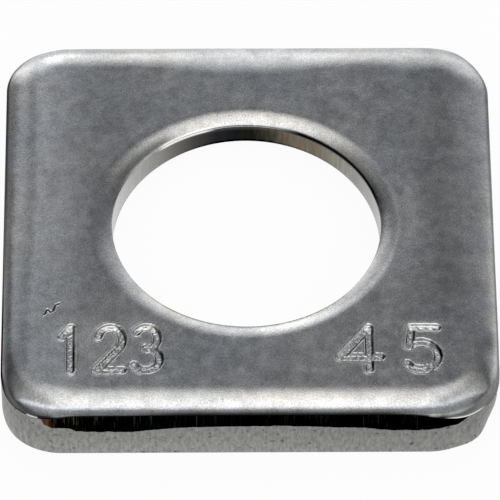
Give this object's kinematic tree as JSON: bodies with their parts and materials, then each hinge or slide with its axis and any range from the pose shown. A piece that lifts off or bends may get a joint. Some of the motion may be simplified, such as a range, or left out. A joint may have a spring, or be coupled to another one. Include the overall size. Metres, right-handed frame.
{
  "type": "taper washer",
  "caption": "Square stainless washer with a round bolt hole and a sloping top face, for levelling a bolt head or nut on a tapered flange.",
  "frame": {"origin": "middle of the square outline on the flat face", "axes": "+Z out of the flat face to the sloping face, -Y to the thick end, +X along the thick edge"},
  "size_m": [0.018, 0.018, 0.0027],
  "materials": {
    "steel": "tumbled satin faces, burnished and broken grey cut edges"
  },
  "bodies": {
    "root": {"taper_washer": "steel"}
  },
  "joints": []
}
